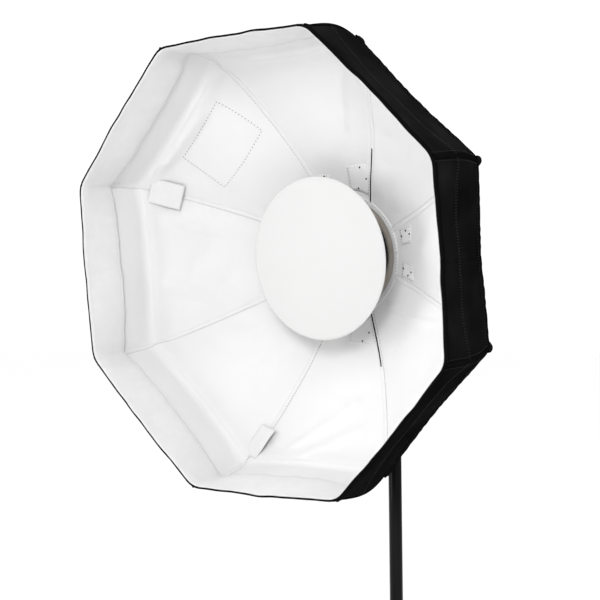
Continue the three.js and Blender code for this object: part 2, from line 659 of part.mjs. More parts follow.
function addBase() {
  const PLATE = 6;
  const PLATE_RADIUS = 60;
  const TOWER_RADIUS = 20;
  const HUB_KNOB_HEIGHT = HUB_TOP - 14;
  const pinAt = ({ towards }) => {
    const around = radians(towards);
    return new THREE.Vector3(LEG_PIN_CIRCLE * Math.cos(around), LEG_PIN_CIRCLE * Math.sin(around), 0);
  };
  const hubBottom = LEG_BOTTOM - GAP - PLATE;
  const hub = combine(
    [
      rod("z", hubBottom, hubBottom + PLATE, PLATE_RADIUS, 30),
      rod("z", LEG_TOP + GAP, LEG_TOP + GAP + PLATE, PLATE_RADIUS, 30),
      rod("z", hubBottom, HUB_TOP, TOWER_RADIUS, 28),
      clampBoss(8.5, TOWER_RADIUS - 6, HUB_BOSS_FACE, HUB_KNOB_HEIGHT),
    ],
    [
      rod("z", COLUMN_BOTTOM - 2 * GAP, HUB_TOP + 1, COLUMN_RADIUS + GAP, 24),
      rod("y", 0, HUB_BOSS_FACE + 1, CLAMP_SCREW + GAP, 14).translate(0, 0, HUB_KNOB_HEIGHT),
      ...LEGS.filter((leg) => !leg.fixed).map((leg) => {
        const { x, y } = pinAt(leg);
        return rod("z", hubBottom - 1, LEG_TOP + 10, LEG_PIN_RADIUS + GAP, 14).translate(x, y, 0);
      }),
    ],
  );
  place(object, "base_hub", hub, blackMetal);

  const screwEnd = COLUMN_RADIUS + SCREW_REST;
  const knob = clampKnob(CLAMP_SCREW, HUB_BOSS_FACE - screwEnd, 14, 12).rotateX(-Math.PI / 2);
  place(object, "hub_knob", knob, blackPlastic).position.set(0, screwEnd, HUB_KNOB_HEIGHT);

  for (const leg of LEGS) {
    const around = radians(leg.towards);
    const pin = pinAt(leg);
    const half = LEG_WIDTH / 2;
    const outline = new THREE.Shape();
    outline.absarc(0, 0, half, Math.PI / 2, (3 * Math.PI) / 2, false);
    outline.absarc(LEG_REACH, 0, half, -Math.PI / 2, Math.PI / 2, false);
    const hole = new THREE.Path();
    hole.absarc(0, 0, LEG_PIN_RADIUS + GAP, 0, 2 * Math.PI, true);
    if (!leg.fixed) outline.holes.push(hole);
    const extrusion = { depth: LEG_THICKNESS, bevelEnabled: false, curveSegments: 6 };
    const bar = new THREE.ExtrudeGeometry(outline, extrusion);
    const mesh = place(object, `leg_${leg.name}`, bar, blackMetal);
    mesh.position.copy(pin).setZ(LEG_BOTTOM);
    mesh.rotation.z = around;

    const FOOT_RADIUS = 13;
    const foot = turnedUp([
      [0, 0],
      [FOOT_RADIUS, 0],
      [FOOT_RADIUS, 8],
      [FOOT_RADIUS - 3, LEG_BOTTOM - GAP],
      [0, LEG_BOTTOM - GAP],
    ]);
    const outward = new THREE.Vector3(Math.cos(around), Math.sin(around), 0);
    const footAt = pin.clone().addScaledVector(outward, LEG_REACH);
    place(object, `foot_${leg.name}`, foot, rubber).position.copy(footAt);

    if (leg.fixed) continue;
    const pinTop = LEG_TOP + GAP + PLATE;
    const bolt = combine([
      rod("z", hubBottom + 1, pinTop + 1, LEG_PIN_RADIUS, 14),
      rod("z", pinTop + GAP, pinTop + 4, 7, 6),
    ]);
    place(object, `leg_pin_${leg.name}`, bolt, steel).position.copy(pin);
  }
}

// ---------- assembly ----------

addRibs();
addCloth();
addTags();
addSpeedRing();
addAdapter();
addDeflector();
addBracket();
addHead();
addColumn();
addBase();

// The softbox turns about the tilt axis, which crosses the stand's axis.
const tilt = radians(TILT_DOWN);
const pivotTurned = new THREE.Vector3(0, PIVOT.y, PIVOT.z).applyAxisAngle(new THREE.Vector3(1, 0, 0), tilt);
softbox.rotation.x = tilt;
softbox.position.set(0, 0, PIVOT_HEIGHT).sub(pivotTurned);
object.add(softbox);

// The part's origin is on the floor, under the middle of its bounding box.
const bounds = new THREE.Box3().setFromObject(object, true);
for (const piece of object.children) piece.position.y -= (bounds.min.y + bounds.max.y) / 2;

export default object;
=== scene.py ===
"""The looks of an octagonal studio softbox.

White-lined black cloth on bent ribs, a deflector, its ring and a stand. Metres. The softbox has a frame of
its own, taken from the CAD's ring joint: x to the right of someone who looks into the front, y backwards
along the axis, z up, with the origin in the middle of the speed ring's front face.
"""

import json
import math

import bmesh
import bpy
import numpy as np
from mathutils import Matrix, Vector, noise


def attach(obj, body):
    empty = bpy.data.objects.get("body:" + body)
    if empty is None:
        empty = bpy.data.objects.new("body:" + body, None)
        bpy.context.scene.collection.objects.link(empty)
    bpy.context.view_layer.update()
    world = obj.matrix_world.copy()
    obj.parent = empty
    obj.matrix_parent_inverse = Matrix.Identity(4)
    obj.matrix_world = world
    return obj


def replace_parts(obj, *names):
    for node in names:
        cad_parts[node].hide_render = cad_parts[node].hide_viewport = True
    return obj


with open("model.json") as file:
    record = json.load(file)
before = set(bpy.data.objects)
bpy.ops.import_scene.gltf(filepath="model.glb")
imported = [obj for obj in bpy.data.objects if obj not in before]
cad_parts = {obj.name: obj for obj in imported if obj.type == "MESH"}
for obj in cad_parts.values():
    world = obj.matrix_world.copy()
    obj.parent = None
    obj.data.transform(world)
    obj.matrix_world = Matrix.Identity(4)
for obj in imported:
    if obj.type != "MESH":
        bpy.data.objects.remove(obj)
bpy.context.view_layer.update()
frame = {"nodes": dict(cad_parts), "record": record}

# ---------- the softbox's own frame, and what the CAD says about its cloth ----------

JOINTS = {joint["name"]: joint for joint in frame["record"]["behaviour"]["joints"]}
RIGHT = Vector((1, 0, 0))
BACKWARD = Vector(JOINTS["ring_turn"]["axis"]).normalized()
AXES = Matrix((RIGHT, BACKWARD, RIGHT.cross(BACKWARD))).transposed()
SOFTBOX = Matrix.Translation(JOINTS["ring_turn"]["pos_m"]) @ AXES.to_4x4()

PANELS = 8
HALF_PANEL = math.pi / PANELS
BACK_PANELS = [f"back_panel_{i + 1}" for i in range(PANELS)]


def in_softbox(node):
    """The node's vertices as [distance from the axis, y] rows, in the softbox's frame."""
    piece = frame["nodes"][node]
    to_softbox = SOFTBOX.inverted() @ piece.matrix_world
    points = np.array([to_softbox @ vertex.co for vertex in piece.data.vertices])
    return np.stack([np.hypot(points[:, 0], points[:, 2]), points[:, 1]], axis=1)


def fitted_arc(points):
    """The centre (r, y) and radius of the circle that fits the points best."""
    columns = np.c_[2 * points, np.ones(len(points))]
    a, b, c = np.linalg.lstsq(columns, (points**2).sum(axis=1), rcond=None)[0]
    return a, b, math.sqrt(c + a * a + b * b)


back = in_softbox(BACK_PANELS[0])
wall = in_softbox("side_wall")

HOLE = back[:, 0].min()
HEM_WIDTH = 0.008
EDGE_FILLET = 0.002  # left out of the dome at the rear edge
ARC_R, ARC_Y, ARC = fitted_arc(back[back[:, 0] > HOLE + HEM_WIDTH])
REAR_R = back[:, 0].max()
REAR_Y = back[:, 1].min()
RIM_Y = wall[:, 1].min()
RIM_R = wall[wall[:, 1] < RIM_Y + 0.001, 0].max()
BAND_Y = in_softbox("front_band")[:, 1].max()
ARC_FROM = math.acos((HOLE + HEM_WIDTH - ARC_R) / ARC)
ARC_TO = math.acos((REAR_R - EDGE_FILLET - ARC_R) / ARC)
DOME_LENGTH = ARC * (ARC_FROM - ARC_TO)

# How the sewn cloth departs from flat panels.
RIM_CORNER = 0.040  # radius of the rim's rounded corners
RIM_SWELL = 0.003  # the rim's sides bow out between the corners
REAR_CORNER_ROUND = 0.012  # radius of the cloth's bend over a rib
CORNER_BILLOW = 0.011  # the wall's corners stand out half-way along
PANEL_PULL = 0.006  # taut cloth between two bent ribs is drawn in
FLUTTER = 0.0007  # waviness of the free rim
BILLOW_FROM = 0.35  # how far from a panel's middle its corner billow starts, as a share of the half width
BEND_CUT = 0.009  # how far the lining stands off the rear edge
BEND_SPREAD = 0.075  # how far along the cloth that reaches
ROUND_FALL = 3.2  # the dome is round at the ring and eight-sided from 1 / 3.2 of the way to the rear edge
CLOTH = 0.0006  # thickness of each layer
TURN = 2 * math.pi / PANELS  # the angle of one panel


def smooth(x):
    x = np.clip(x, 0, 1)
    return x * x * (3 - 2 * x)


def surface(around, along):
    """Points of the cloth in the softbox's frame.

    around counts panels: 0 is the middle of the right-hand one, whole numbers are middles and halves are
    corners. along goes 0 to 1 from the ring to the rear edge, and 1 to 2 from there to the front rim.
    """
    around, along = np.broadcast_arrays(np.asarray(around, float), np.asarray(along, float))
    panel = np.round(around)
    across = (around - panel) * 2
    dome = np.clip(along, 0, 1)
    wall_share = np.clip(along - 1, 0, 1)

    arc_angle = ARC_FROM + (ARC_TO - ARC_FROM) * dome
    corner_r = ARC_R + ARC * np.cos(arc_angle)
    y = ARC_Y + ARC * np.sin(arc_angle)
    on_wall = along > 1
    rear_r = ARC_R + ARC * math.cos(ARC_TO)
    rear_y = ARC_Y + ARC * math.sin(ARC_TO)
    corner_r = np.where(on_wall, rear_r + (RIM_R - rear_r) * wall_share, corner_r)
    y = np.where(on_wall, rear_y + (RIM_Y - rear_y) * wall_share, y)

    rounding = REAR_CORNER_ROUND + (RIM_CORNER - REAR_CORNER_ROUND) * smooth(wall_share)
    near_corner = np.clip((np.abs(across) - BILLOW_FROM) / (1 - BILLOW_FROM), 0, 1) ** 2
    corner_r = corner_r + CORNER_BILLOW * np.sin(np.pi * np.minimum(wall_share * 1.1, 1)) * near_corner
    apothem = corner_r * math.cos(HALF_PANEL)
    roundness = 1 - smooth(dome * ROUND_FALL)
    rounding = rounding + (apothem - rounding) * roundness
    tangent = apothem * math.tan(HALF_PANEL) - rounding * math.tan(HALF_PANEL)
    sideways = across * (tangent + rounding * math.sin(HALF_PANEL))
    past = np.clip(np.abs(sideways) - tangent, 0, None)
    swell = -PANEL_PULL * np.sin(np.pi * np.clip(dome, 0, 1) * 0.78) * (1 - wall_share)
    swell = swell + RIM_SWELL * smooth(wall_share * 1.4 - 0.4)
    outwards = apothem - (rounding - np.sqrt(rounding**2 - past**2)) + swell * np.cos(np.pi * across / 2) ** 2

    turn = around * TURN
    waves = np.sin(turn * 19) + 0.7 * np.sin(turn * 31 + 1.0) + 0.4 * np.sin(turn * 52 + 2.0)
    from_corner = np.cos(np.pi * across / 2)
    outwards = outwards + FLUTTER * waves * from_corner * smooth(wall_share * 1.3 - 0.3)

    middle = panel * TURN
    x = outwards * np.cos(middle) - sideways * np.sin(middle)
    z = outwards * np.sin(middle) + sideways * np.cos(middle)
    return np.stack([x, y, z], axis=-1)


# ---------- making pieces ----------


def to_world(points):
    points = np.asarray(points, float)
    rotation = np.array(SOFTBOX.to_3x3())
    return points @ rotation.T + np.array(SOFTBOX.translation)


def mesh_piece(name, vertices, faces, body, material):
    mesh = bpy.data.meshes.new(name)
    mesh.from_pydata([tuple(v) for v in vertices], [], [tuple(int(i) for i in f) for f in faces])
    mesh.validate()
    mesh.update()
    mesh.polygons.foreach_set("use_smooth", [True] * len(mesh.polygons))
    piece = bpy.data.objects.new(name, mesh)
    bpy.context.scene.collection.objects.link(piece)
    mesh.materials.append(material)
    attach(piece, body)
    return piece


def grid_faces(rows, columns, closed=False):
    """Quads of a grid of points stored row by row; a closed grid joins its last column to its first."""
    across = columns if closed else columns - 1
    index = np.arange(rows * columns).reshape(rows, columns)
    nextward = np.roll(index, -1, axis=1)
    return np.stack(
        [index[:-1, :across], nextward[:-1, :across], nextward[1:, :across], index[1:, :across]], axis=-1
    ).reshape(-1, 4)


def add_uv(piece, uv):
    """Gives each vertex's uv to all its corners."""
    layer = piece.data.uv_layers.new(name="weave")
    loops = np.empty(len(piece.data.loops), int)
    piece.data.loops.foreach_get("vertex_index", loops)
    layer.data.foreach_set("uv", np.asarray(uv, float)[loops].ravel())


def fractal(points, scale, seed, octaves=3):
    """Smooth noise, one value for each point, about -1 to 1, with features as large as scale."""
    flat = points.reshape(-1, 3) / scale + seed
    values = [noise.fractal(Vector(p), 1.0, 2.0, octaves) for p in flat]
    return np.array(values).reshape(points.shape[:-1])


# ---------- materials ----------

RIPSTOP_THREAD = 0.12  # width of a thick thread, as a share of the squares


class Nodes:
    """A short way to build a material's node tree."""

    def __init__(self, name, color, roughness, metallic=0.0):
        self.material = bpy.data.materials.new(name)
        self.material.use_nodes = True
        self.tree = self.material.node_tree
        self.shader = self.tree.nodes["Principled BSDF"]
        self.shader.inputs["Base Color"].default_value = (*color, 1)
        self.shader.inputs["Roughness"].default_value = roughness
        self.shader.inputs["Metallic"].default_value = metallic
        self.height = None

    def add(self, kind, inputs=(), **settings):
        node = self.tree.nodes.new(kind)
        for key, value in settings.items():
            setattr(node, key, value)
        for key, value in dict(inputs).items():
            if isinstance(value, bpy.types.NodeSocket):
                self.tree.links.new(value, node.inputs[key])
            else:
                node.inputs[key].default_value = value
        return node

    def noise(self, scale, detail=3, stretch=(1, 1, 1)):
        place = self.add("ShaderNodeTexCoord").outputs["Object"]
        place = self.add("ShaderNodeMapping", {"Vector": place, "Scale": stretch}).outputs["Vector"]
        inputs = {"Vector": place, "Scale": scale, "Detail": detail}
        return self.add("ShaderNodeTexNoise", inputs).outputs["Fac"]

    def ramp(self, value, low, high):
        """value from 0 to 1 spread over low to high."""
        limits = {"Value": value, "To Min": low, "To Max": high}
        return self.add("ShaderNodeMapRange", limits).outputs["Result"]

    def math(self, operation, a, b=0.0):
        node = self.add("ShaderNodeMath", operation=operation)
        for socket, value in zip(node.inputs, (a, b)):
            if isinstance(value, bpy.types.NodeSocket):
                self.tree.links.new(value, socket)
            else:
                socket.default_value = value
        return node.outputs[0]

    def tint(self, value, dark, light):
        """Base colour between two colours by value."""
        mix = self.add("ShaderNodeMix", {"Factor": value}, data_type="RGBA")
        mix.inputs["A"].default_value = (*dark, 1)
        mix.inputs["B"].default_value = (*light, 1)
        self.tree.links.new(mix.outputs["Result"], self.shader.inputs["Base Color"])

    def roughness(self, value, low, high):
        self.tree.links.new(self.ramp(value, low, high), self.shader.inputs["Roughness"])

    def bump(self, height, distance, strength=1.0):
        inputs = {"Height": height, "Distance": distance, "Strength": strength}
        if self.height is not None:
            inputs["Normal"] = self.height
        self.height = self.add("ShaderNodeBump", inputs).outputs["Normal"]
        self.tree.links.new(self.height, self.shader.inputs["Normal"])

    def weave(self, thread, distance):
        """Plain weave from the piece's own uv, in metres: warp over weft."""
        uv = self.add("ShaderNodeTexCoord").outputs["UV"]
        parts = self.add("ShaderNodeSeparateXYZ", {"Vector": uv})
        turns = math.pi / thread
        warp = self.math("SINE", self.math("MULTIPLY", parts.outputs["X"], turns))
        weft = self.math("SINE", self.math("MULTIPLY", parts.outputs["Y"], turns))
        self.bump(self.math("MULTIPLY", warp, weft), distance)
        return self.math("MULTIPLY", warp, weft)

    def ripstop(self, pitch, distance):
        """The thicker threads that cross a ripstop cloth in squares."""
        uv = self.add("ShaderNodeTexCoord").outputs["UV"]
        parts = self.add("ShaderNodeSeparateXYZ", {"Vector": uv})
        lines = []
        for axis in "XY":
            place = self.math("FRACT", self.math("DIVIDE", parts.outputs[axis], pitch))
            lines.append(self.math("LESS_THAN", place, RIPSTOP_THREAD))
        height = self.math("MAXIMUM", *lines)
        self.bump(height, distance)
        return height


def white_satin():
    m = Nodes("white_satin", (0.66, 0.66, 0.66), 0.5)
    m.tint(m.noise(9, 4), (0.635, 0.635, 0.635), (0.685, 0.685, 0.685))
    m.weave(0.0009, 0.00006)
    m.bump(m.noise(55, 3), 0.0006, 0.35)
    m.roughness(m.noise(30, 2), 0.44, 0.6)
    m.shader.inputs["Sheen Weight"].default_value = 0.15
    m.shader.inputs["Specular IOR Level"].default_value = 0.4
    return m.material


def white_webbing():
    m = Nodes("white_webbing", (0.64, 0.64, 0.64), 0.6)
    m.tint(m.noise(60, 3), (0.62, 0.62, 0.62), (0.67, 0.67, 0.67))
    m.weave(0.0012, 0.00012)
    m.bump(m.noise(90, 3), 0.0005, 0.3)
    m.roughness(m.noise(50, 2), 0.5, 0.68)
    return m.material


def black_nylon(name="black_nylon", thread=0.0008):
    m = Nodes(name, (0.008, 0.008, 0.0084), 0.7)
    # the blotchy lighter and darker colour is painted sheen, mottled shine put into the colour since the
    # cloth's specular is off
    m.tint(m.math("POWER", m.noise(8, 6), 2.2), (0.0008, 0.0008, 0.0009), (0.024, 0.024, 0.025))
    m.weave(thread, 0.0001)
    m.ripstop(0.0052, 0.00006)
    m.bump(m.noise(40, 4), 0.0012, 0.5)
    m.roughness(m.noise(25, 3), 0.5, 0.74)
    m.shader.inputs["Sheen Weight"].default_value = 0.004
    m.shader.inputs["Sheen Roughness"].default_value = 0.5
    m.shader.inputs["Specular IOR Level"].default_value = 0.0
    return m.material


def black_tape():
    m = Nodes("black_tape", (0.004, 0.004, 0.004), 0.75)
    m.tint(m.noise(80, 3), (0.003, 0.003, 0.003), (0.006, 0.006, 0.006))
    m.shader.inputs["Specular IOR Level"].default_value = 0.0
    m.weave(0.0014, 0.0002)
    m.roughness(m.noise(60, 2), 0.68, 0.85)
    return m.material


def disc_white():
    m = Nodes("disc_white", (0.545, 0.545, 0.543), 0.45)
    m.tint(m.noise(6, 4), (0.535, 0.535, 0.533), (0.555, 0.555, 0.553))
    m.shader.inputs["Specular IOR Level"].default_value = 0.2
    m.bump(m.noise(900, 2), 0.00003, 0.5)
    m.roughness(m.noise(18, 3), 0.38, 0.5)
    return m.material


def cast_aluminium():
    m = Nodes("cast_aluminium", (0.60, 0.55, 0.49), 0.42, 0.75)
    m.tint(m.noise(45, 4), (0.53, 0.48, 0.42), (0.66, 0.61, 0.55))
    m.bump(m.noise(700, 3), 0.00012, 0.6)
    m.bump(m.noise(120, 2), 0.0002, 0.25)
    m.roughness(m.noise(60, 3), 0.36, 0.52)
    return m.material


def black_coat():
    m = Nodes("black_powder_coat", (0.012, 0.012, 0.0125), 0.36)
    m.tint(m.noise(30, 4), (0.009, 0.009, 0.0095), (0.017, 0.017, 0.018))
    m.bump(m.noise(1100, 2), 0.00006, 0.6)
    m.roughness(m.noise(35, 3), 0.3, 0.46)
    m.shader.inputs["Specular IOR Level"].default_value = 0.22
    return m.material


def black_tube():
    m = Nodes("black_anodised_tube", (0.005, 0.005, 0.0053), 0.24)
    m.shader.inputs["Specular IOR Level"].default_value = 0.09
    m.tint(m.noise(20, 4, stretch=(1, 1, 0.1)), (0.0035, 0.0035, 0.0038), (0.007, 0.007, 0.0074))
    m.bump(m.noise(500, 2, stretch=(1, 1, 0.05)), 0.00003, 0.5)
    m.roughness(m.noise(40, 3, stretch=(1, 1, 0.1)), 0.2, 0.3)
    m.shader.inputs["Coat Weight"].default_value = 0.02
    return m.material


def black_plastic():
    m = Nodes("black_moulded_nylon", (0.018, 0.018, 0.019), 0.5)
    m.tint(m.noise(50, 3), (0.014, 0.014, 0.015), (0.024, 0.024, 0.025))
    m.bump(m.noise(1400, 2), 0.00008, 0.7)
    m.roughness(m.noise(80, 2), 0.42, 0.6)
    return m.material


def bright_steel():
    m = Nodes("bright_steel", (0.58, 0.58, 0.6), 0.26, 1.0)
    m.tint(m.noise(70, 3), (0.5, 0.5, 0.52), (0.66, 0.66, 0.67))
    m.bump(m.noise(800, 2), 0.00003, 0.4)
    m.roughness(m.noise(90, 3), 0.18, 0.36)
    return m.material


def black_rubber():
    m = Nodes("black_rubber", (0.016, 0.016, 0.016), 0.85)
    m.tint(m.noise(60, 3), (0.012, 0.012, 0.012), (0.024, 0.023, 0.022))
    m.bump(m.noise(900, 3), 0.0001, 0.8)
    m.roughness(m.noise(50, 2), 0.75, 0.95)
    return m.material


def dark_metal():
    m = Nodes("blackened_rivet", (0.03, 0.03, 0.03), 0.4, 0.6)
    m.tint(m.noise(300, 2), (0.02, 0.02, 0.02), (0.05, 0.05, 0.05))
    m.roughness(m.noise(400, 2), 0.35, 0.55)
    return m.material


def thread(name, color):
    m = Nodes(name, color, 0.7)
    m.tint(m.noise(500, 2), tuple(c * 0.75 for c in color), color)
    m.bump(m.noise(2500, 2), 0.0002, 0.6)
    return m.material


SATIN = white_satin()
WEBBING = white_webbing()
NYLON = black_nylon()
SLEEVE_CLOTH = black_nylon("black_sleeve_cloth", 0.0011)
TAPE = black_tape()
DISC = disc_white()
CAST = cast_aluminium()
COAT = black_coat()
TUBE = black_tube()
PLASTIC = black_plastic()
STEEL = bright_steel()
RUBBER = black_rubber()
SEAM_THREAD = thread("seam_thread", (0.05, 0.05, 0.052))
PALE_THREAD = thread("pale_thread", (0.62, 0.62, 0.62))
DARK_THREAD = thread("dark_thread", (0.006, 0.006, 0.006))
DARK_METAL = dark_metal()

# ---------- the cloth, its folds, and lines on it ----------

STEP = 0.002
BEND_REACH = 0.06  # the layers' offsets turn this gently at the rear edge


def cloth_normals(around, along, reach=STEP):
    """Unit normals of the smooth cloth, away from the light; a longer reach rounds them at the rear edge."""
    along = np.clip(along, reach, 2 - reach)
    over = surface(around + STEP, along) - surface(around - STEP, along)
    down = surface(around, along + reach) - surface(around, along - reach)
    normals = np.cross(down, over)
    normals /= np.linalg.norm(normals, axis=-1, keepdims=True) + 1e-12
    place = surface(around, along)
    outward = place * np.array([1, 0, 1]) + np.array([0, 0.15, 0])
    return normals * np.sign((normals * outward).sum(axis=-1, keepdims=True))


def ridge(around, along, start, end, width):
    """1 on a straight crease between two (around, along) places, falling to 0 beside it."""
    start, end = np.array(start), np.array(end)
    direction = end - start
    share = ((around - start[0]) * direction[0] + (along - start[1]) * direction[1]) / (direction @ direction)
    nearest = start + np.clip(share, 0, 1)[..., None] * direction
    distance = np.hypot(around - nearest[..., 0], along - nearest[..., 1])
    return np.clip(1 - distance / width, 0, 1) * smooth(share * 6) * smooth((1 - share) * 6)


# How far the cloth goes in and out.
SOFT_FOLDS = 0.0050
SHARP_FOLDS = 0.0085
FINE_FOLDS = 0.0010
PUCKERS = 0.0008  # beside the seams
GATHERS = 0.0005  # along the rear edge
CREASE_DEPTH = 0.0045
CREASE_WIDTH = 0.05

# Single straight creases, each from one (around, along) place to another.
CREASES = [
    ((6.90, 0.05), (7.40, 0.56)),
    ((3.75, 0.50), (3.68, 0.94)),
    ((4.30, 0.62), (4.10, 0.95)),
    ((6.30, 0.55), (5.72, 0.93)),
    ((6.36, 0.72), (5.86, 0.97)),
    ((2.80, 0.93), (3.36, 0.97)),
    ((1.75, 0.42), (1.66, 0.86)),
]


def folds(around, along):
    """How far every layer of the cloth is pushed out, where it is slack or drawn up by its stitching."""
    around, along = np.broadcast_arrays(np.asarray(around, float), np.asarray(along, float))
    place = surface(around, along)
    across = np.clip(np.abs(around - np.round(around)) * 2, 0, 1)
    taut = np.sqrt(np.clip(np.cos(np.pi * across / 2), 0, 1))
    held = smooth(along * 5) * smooth((2 - along) * 6)
    on_wall = smooth((along - 0.98) * 12)
    at_edge = np.exp(-(((along - 1) / 0.2) ** 2))
    soft = fractal(place, scale=0.15, seed=3.0)
    sharp = np.abs(fractal(place * np.array([1.0, 0.55, 1.0]), scale=0.11, seed=14.0, octaves=2))
    fine = fractal(place, scale=0.035, seed=23.0)
    turn = around * TURN
    slack = 0.75 + 0.35 * np.sin(turn * 2 + 0.9)
    calm = (1 - 0.55 * on_wall) * (1 - 0.85 * at_edge)
    push = taut * held * slack * calm * (SOFT_FOLDS * soft - SHARP_FOLDS * sharp + FINE_FOLDS * fine)
    beside_seam = np.exp(-(((1 - across) / 0.11) ** 2)) * np.sqrt(1 - across**8)
    puckers = np.sin(along * 118 + 3.1 * soft + turn * 6) * beside_seam
    edge = np.exp(-(((along - 1) / 0.06) ** 2)) * taut
    gathers = np.sin(turn * 117 + 4 * fine) * edge
    push = push + held * (PUCKERS * puckers * (1 - on_wall) + GATHERS * gathers)
    for start, end in CREASES:
        push = push - CREASE_DEPTH * taut * ridge(around, along, start, end, CREASE_WIDTH)
    return push


def cloth(around, along, lift=0.0):
    """Points of the folded cloth, moved out from it by lift."""
    around, along = np.broadcast_arrays(np.asarray(around, float), np.asarray(along, float))
    push = folds(around, along) + lift
    return surface(around, along) + cloth_normals(around, along, BEND_REACH) * push[..., None]


# ---------- the cloth shells ----------

LINING = -0.0010  # the lining's lift, inside the outer cloth's
OUTER = 0.0009
OUTER_FROM = 0.012  # the outer cloth starts a little further from the ring
OUTER_CRUMPLE = 0.0022


def lining_lift(along):
    """The lining hangs inside the outer cloth, and cuts the rear edge's sharp bend short."""
    return LINING - BEND_CUT * np.exp(-(((np.asarray(along) - 1) / BEND_SPREAD) ** 2))


def inside(along, rise=0.0):
    """Lift of something that lies on the lining's face."""
    return lining_lift(along) - CLOTH / 2 - rise


AROUND_STEPS = 44  # columns in one panel
DOME_STEPS = 64
WALL_STEPS = 34


def cloth_shell(name, lift, material, start=0.0, crumple=0.0):
    """One ring of cloth from the speed ring to the front rim; its lift is a number or goes by along."""
    around = np.arange(PANELS * AROUND_STEPS) / AROUND_STEPS
    along = np.r_[np.linspace(start, 1, DOME_STEPS), 1 + np.linspace(0, 1, WALL_STEPS)[1:]]
    columns, rows = np.meshgrid(around, along)
    lifts = lift(rows) if callable(lift) else lift
    if crumple:
        place = surface(columns, rows) * np.array([1.0, 0.3, 1.0])
        lifts = lifts + crumple * np.abs(fractal(place, scale=0.05, seed=61.0)) * smooth((2 - rows) * 8)
    points = cloth(columns, rows, lifts)
    lengths = np.linalg.norm(np.diff(points[:, 0], axis=0), axis=1)
    v = np.repeat(np.r_[0, np.cumsum(lengths)][:, None], columns.shape[1], axis=1)
    u = columns * REAR_R * 2 * math.sin(HALF_PANEL)
    faces = grid_faces(*columns.shape, closed=True)
    piece = mesh_piece(name, to_world(points.reshape(-1, 3)), faces, "shell", material)
    add_uv(piece, np.stack([u.ravel(), v.ravel()], axis=1))
    return piece


def thicken(piece, thickness):
    modifier = piece.modifiers.new("cloth", "SOLIDIFY")
    modifier.thickness = thickness
    modifier.offset = 0
    return piece


def add_lining():
    thicken(cloth_shell("white_lining", lining_lift, SATIN), CLOTH)


def add_outer_cloth():
    outer = cloth_shell("black_shell", OUTER, NYLON, OUTER_FROM, OUTER_CRUMPLE)
    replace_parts(thicken(outer, CLOTH), "side_wall", *BACK_PANELS)


def ribbon(name, points, material, thickness):
    """A strip of cloth from a grid of points in the softbox's frame, row by row along the strip."""
    faces = grid_faces(*points.shape[:2])
    piece = mesh_piece(name, to_world(points.reshape(-1, 3)), faces, "shell", material)
    over = np.r_[0, np.cumsum(np.linalg.norm(np.diff(points[0], axis=0), axis=1))]
    run = np.r_[0, np.cumsum(np.linalg.norm(np.diff(points[:, 0], axis=0), axis=1))]
    uv = np.stack(np.broadcast_arrays(over[None, :], run[:, None]), axis=-1)
    add_uv(piece, uv.reshape(-1, 2))
    return thicken(piece, thickness)


def panel_width(along):
    """How wide one panel is, corner to corner, at that place along the cloth."""
    corner = surface(np.array([0.5]), np.array([along]))[0]
    return 2 * math.hypot(corner[0], corner[2]) * math.sin(HALF_PANEL)


def beside(corner, along, offset):
    """The around value that is offset metres to the side of a corner."""
    widths = np.array([panel_width(s) for s in np.atleast_1d(along)])
    return corner + 0.5 + offset / widths


def strip(corner, along, offsets, lifts):
    """A grid of points that follows one corner; each row has the same offsets and lifts, in metres."""
    around = np.stack([beside(corner, along, offset) for offset in offsets], axis=1)
    rows = np.repeat(np.asarray(along)[:, None], len(offsets), axis=1)
    return cloth(around, rows, np.broadcast_to(lifts, rows.shape))


# ---------- stitching ----------


def interpolated(values, run, where):
    """Rows of values, known at the distances run, at the distances where."""
    return np.stack([np.interp(where, run, values[:, i]) for i in range(3)], axis=1)


def stitches(name, lines, material, length=0.0024, pitch=0.0056, radius=0.0007):
    """Thread bights along polylines; each line is [points, normals] in the softbox's frame."""
    shape = np.array([(-0.5, 0, 0), (0, 1, 0), (0, 0, 1), (0, -1, 0), (0, 0, -1), (0.5, 0, 0)], float)
    sides = [(1, 2), (2, 3), (3, 4), (4, 1)]
    template_faces = [(0, b, a) for a, b in sides] + [(5, a, b) for a, b in sides]
    vertices, faces = [], []
    for points, normals in lines:
        run = np.r_[0, np.cumsum(np.linalg.norm(np.diff(points, axis=0), axis=1))]
        count = max(int(run[-1] / pitch), 1)
        places = (np.arange(count) + 0.5) * run[-1] / count
        centres = interpolated(points, run, places)
        ups = interpolated(normals, run, places)
        directions = interpolated(points, run, places + 0.001) - interpolated(points, run, places - 0.001)
        for centre, up, direction in zip(centres, ups, directions):
            direction = direction / (np.linalg.norm(direction) + 1e-12)
            side = np.cross(up, direction)
            side /= np.linalg.norm(side) + 1e-12
            base = len(vertices)
            axes = np.array([direction, side, np.cross(direction, side)])
            vertices.extend(centre + (shape * np.array([length, radius, radius])) @ axes)
            faces.extend(tuple(base + i for i in face) for face in template_faces)
    return mesh_piece(name, to_world(np.array(vertices)), faces, "shell", material)


def line(around, along, lift):
    """A stitching line on the folded cloth, through (around, along) places."""
    around, along = np.asarray(around, float), np.asarray(along, float)
    return cloth(around, along, lift), cloth_normals(around, along)


def closed_path(corners, steps=12):
    """Around and along arrays of a polygon through (around, along) corners."""
    path = []
    for (a0, s0), (a1, s1) in zip(corners, corners[1:] + corners[:1]):
        share = np.arange(steps) / steps
        path.extend(np.stack([a0 + (a1 - a0) * share, s0 + (s1 - s0) * share], axis=1))
    path.append(corners[0])
    return np.array(path).T


# ---------- sewn details of the lining ----------

SEAM_ALONG = np.linspace(0.03, 1.50, 110)
SEAM_SHIFT = {1: -0.017}  # one seam was sewn that far to the side of its rib


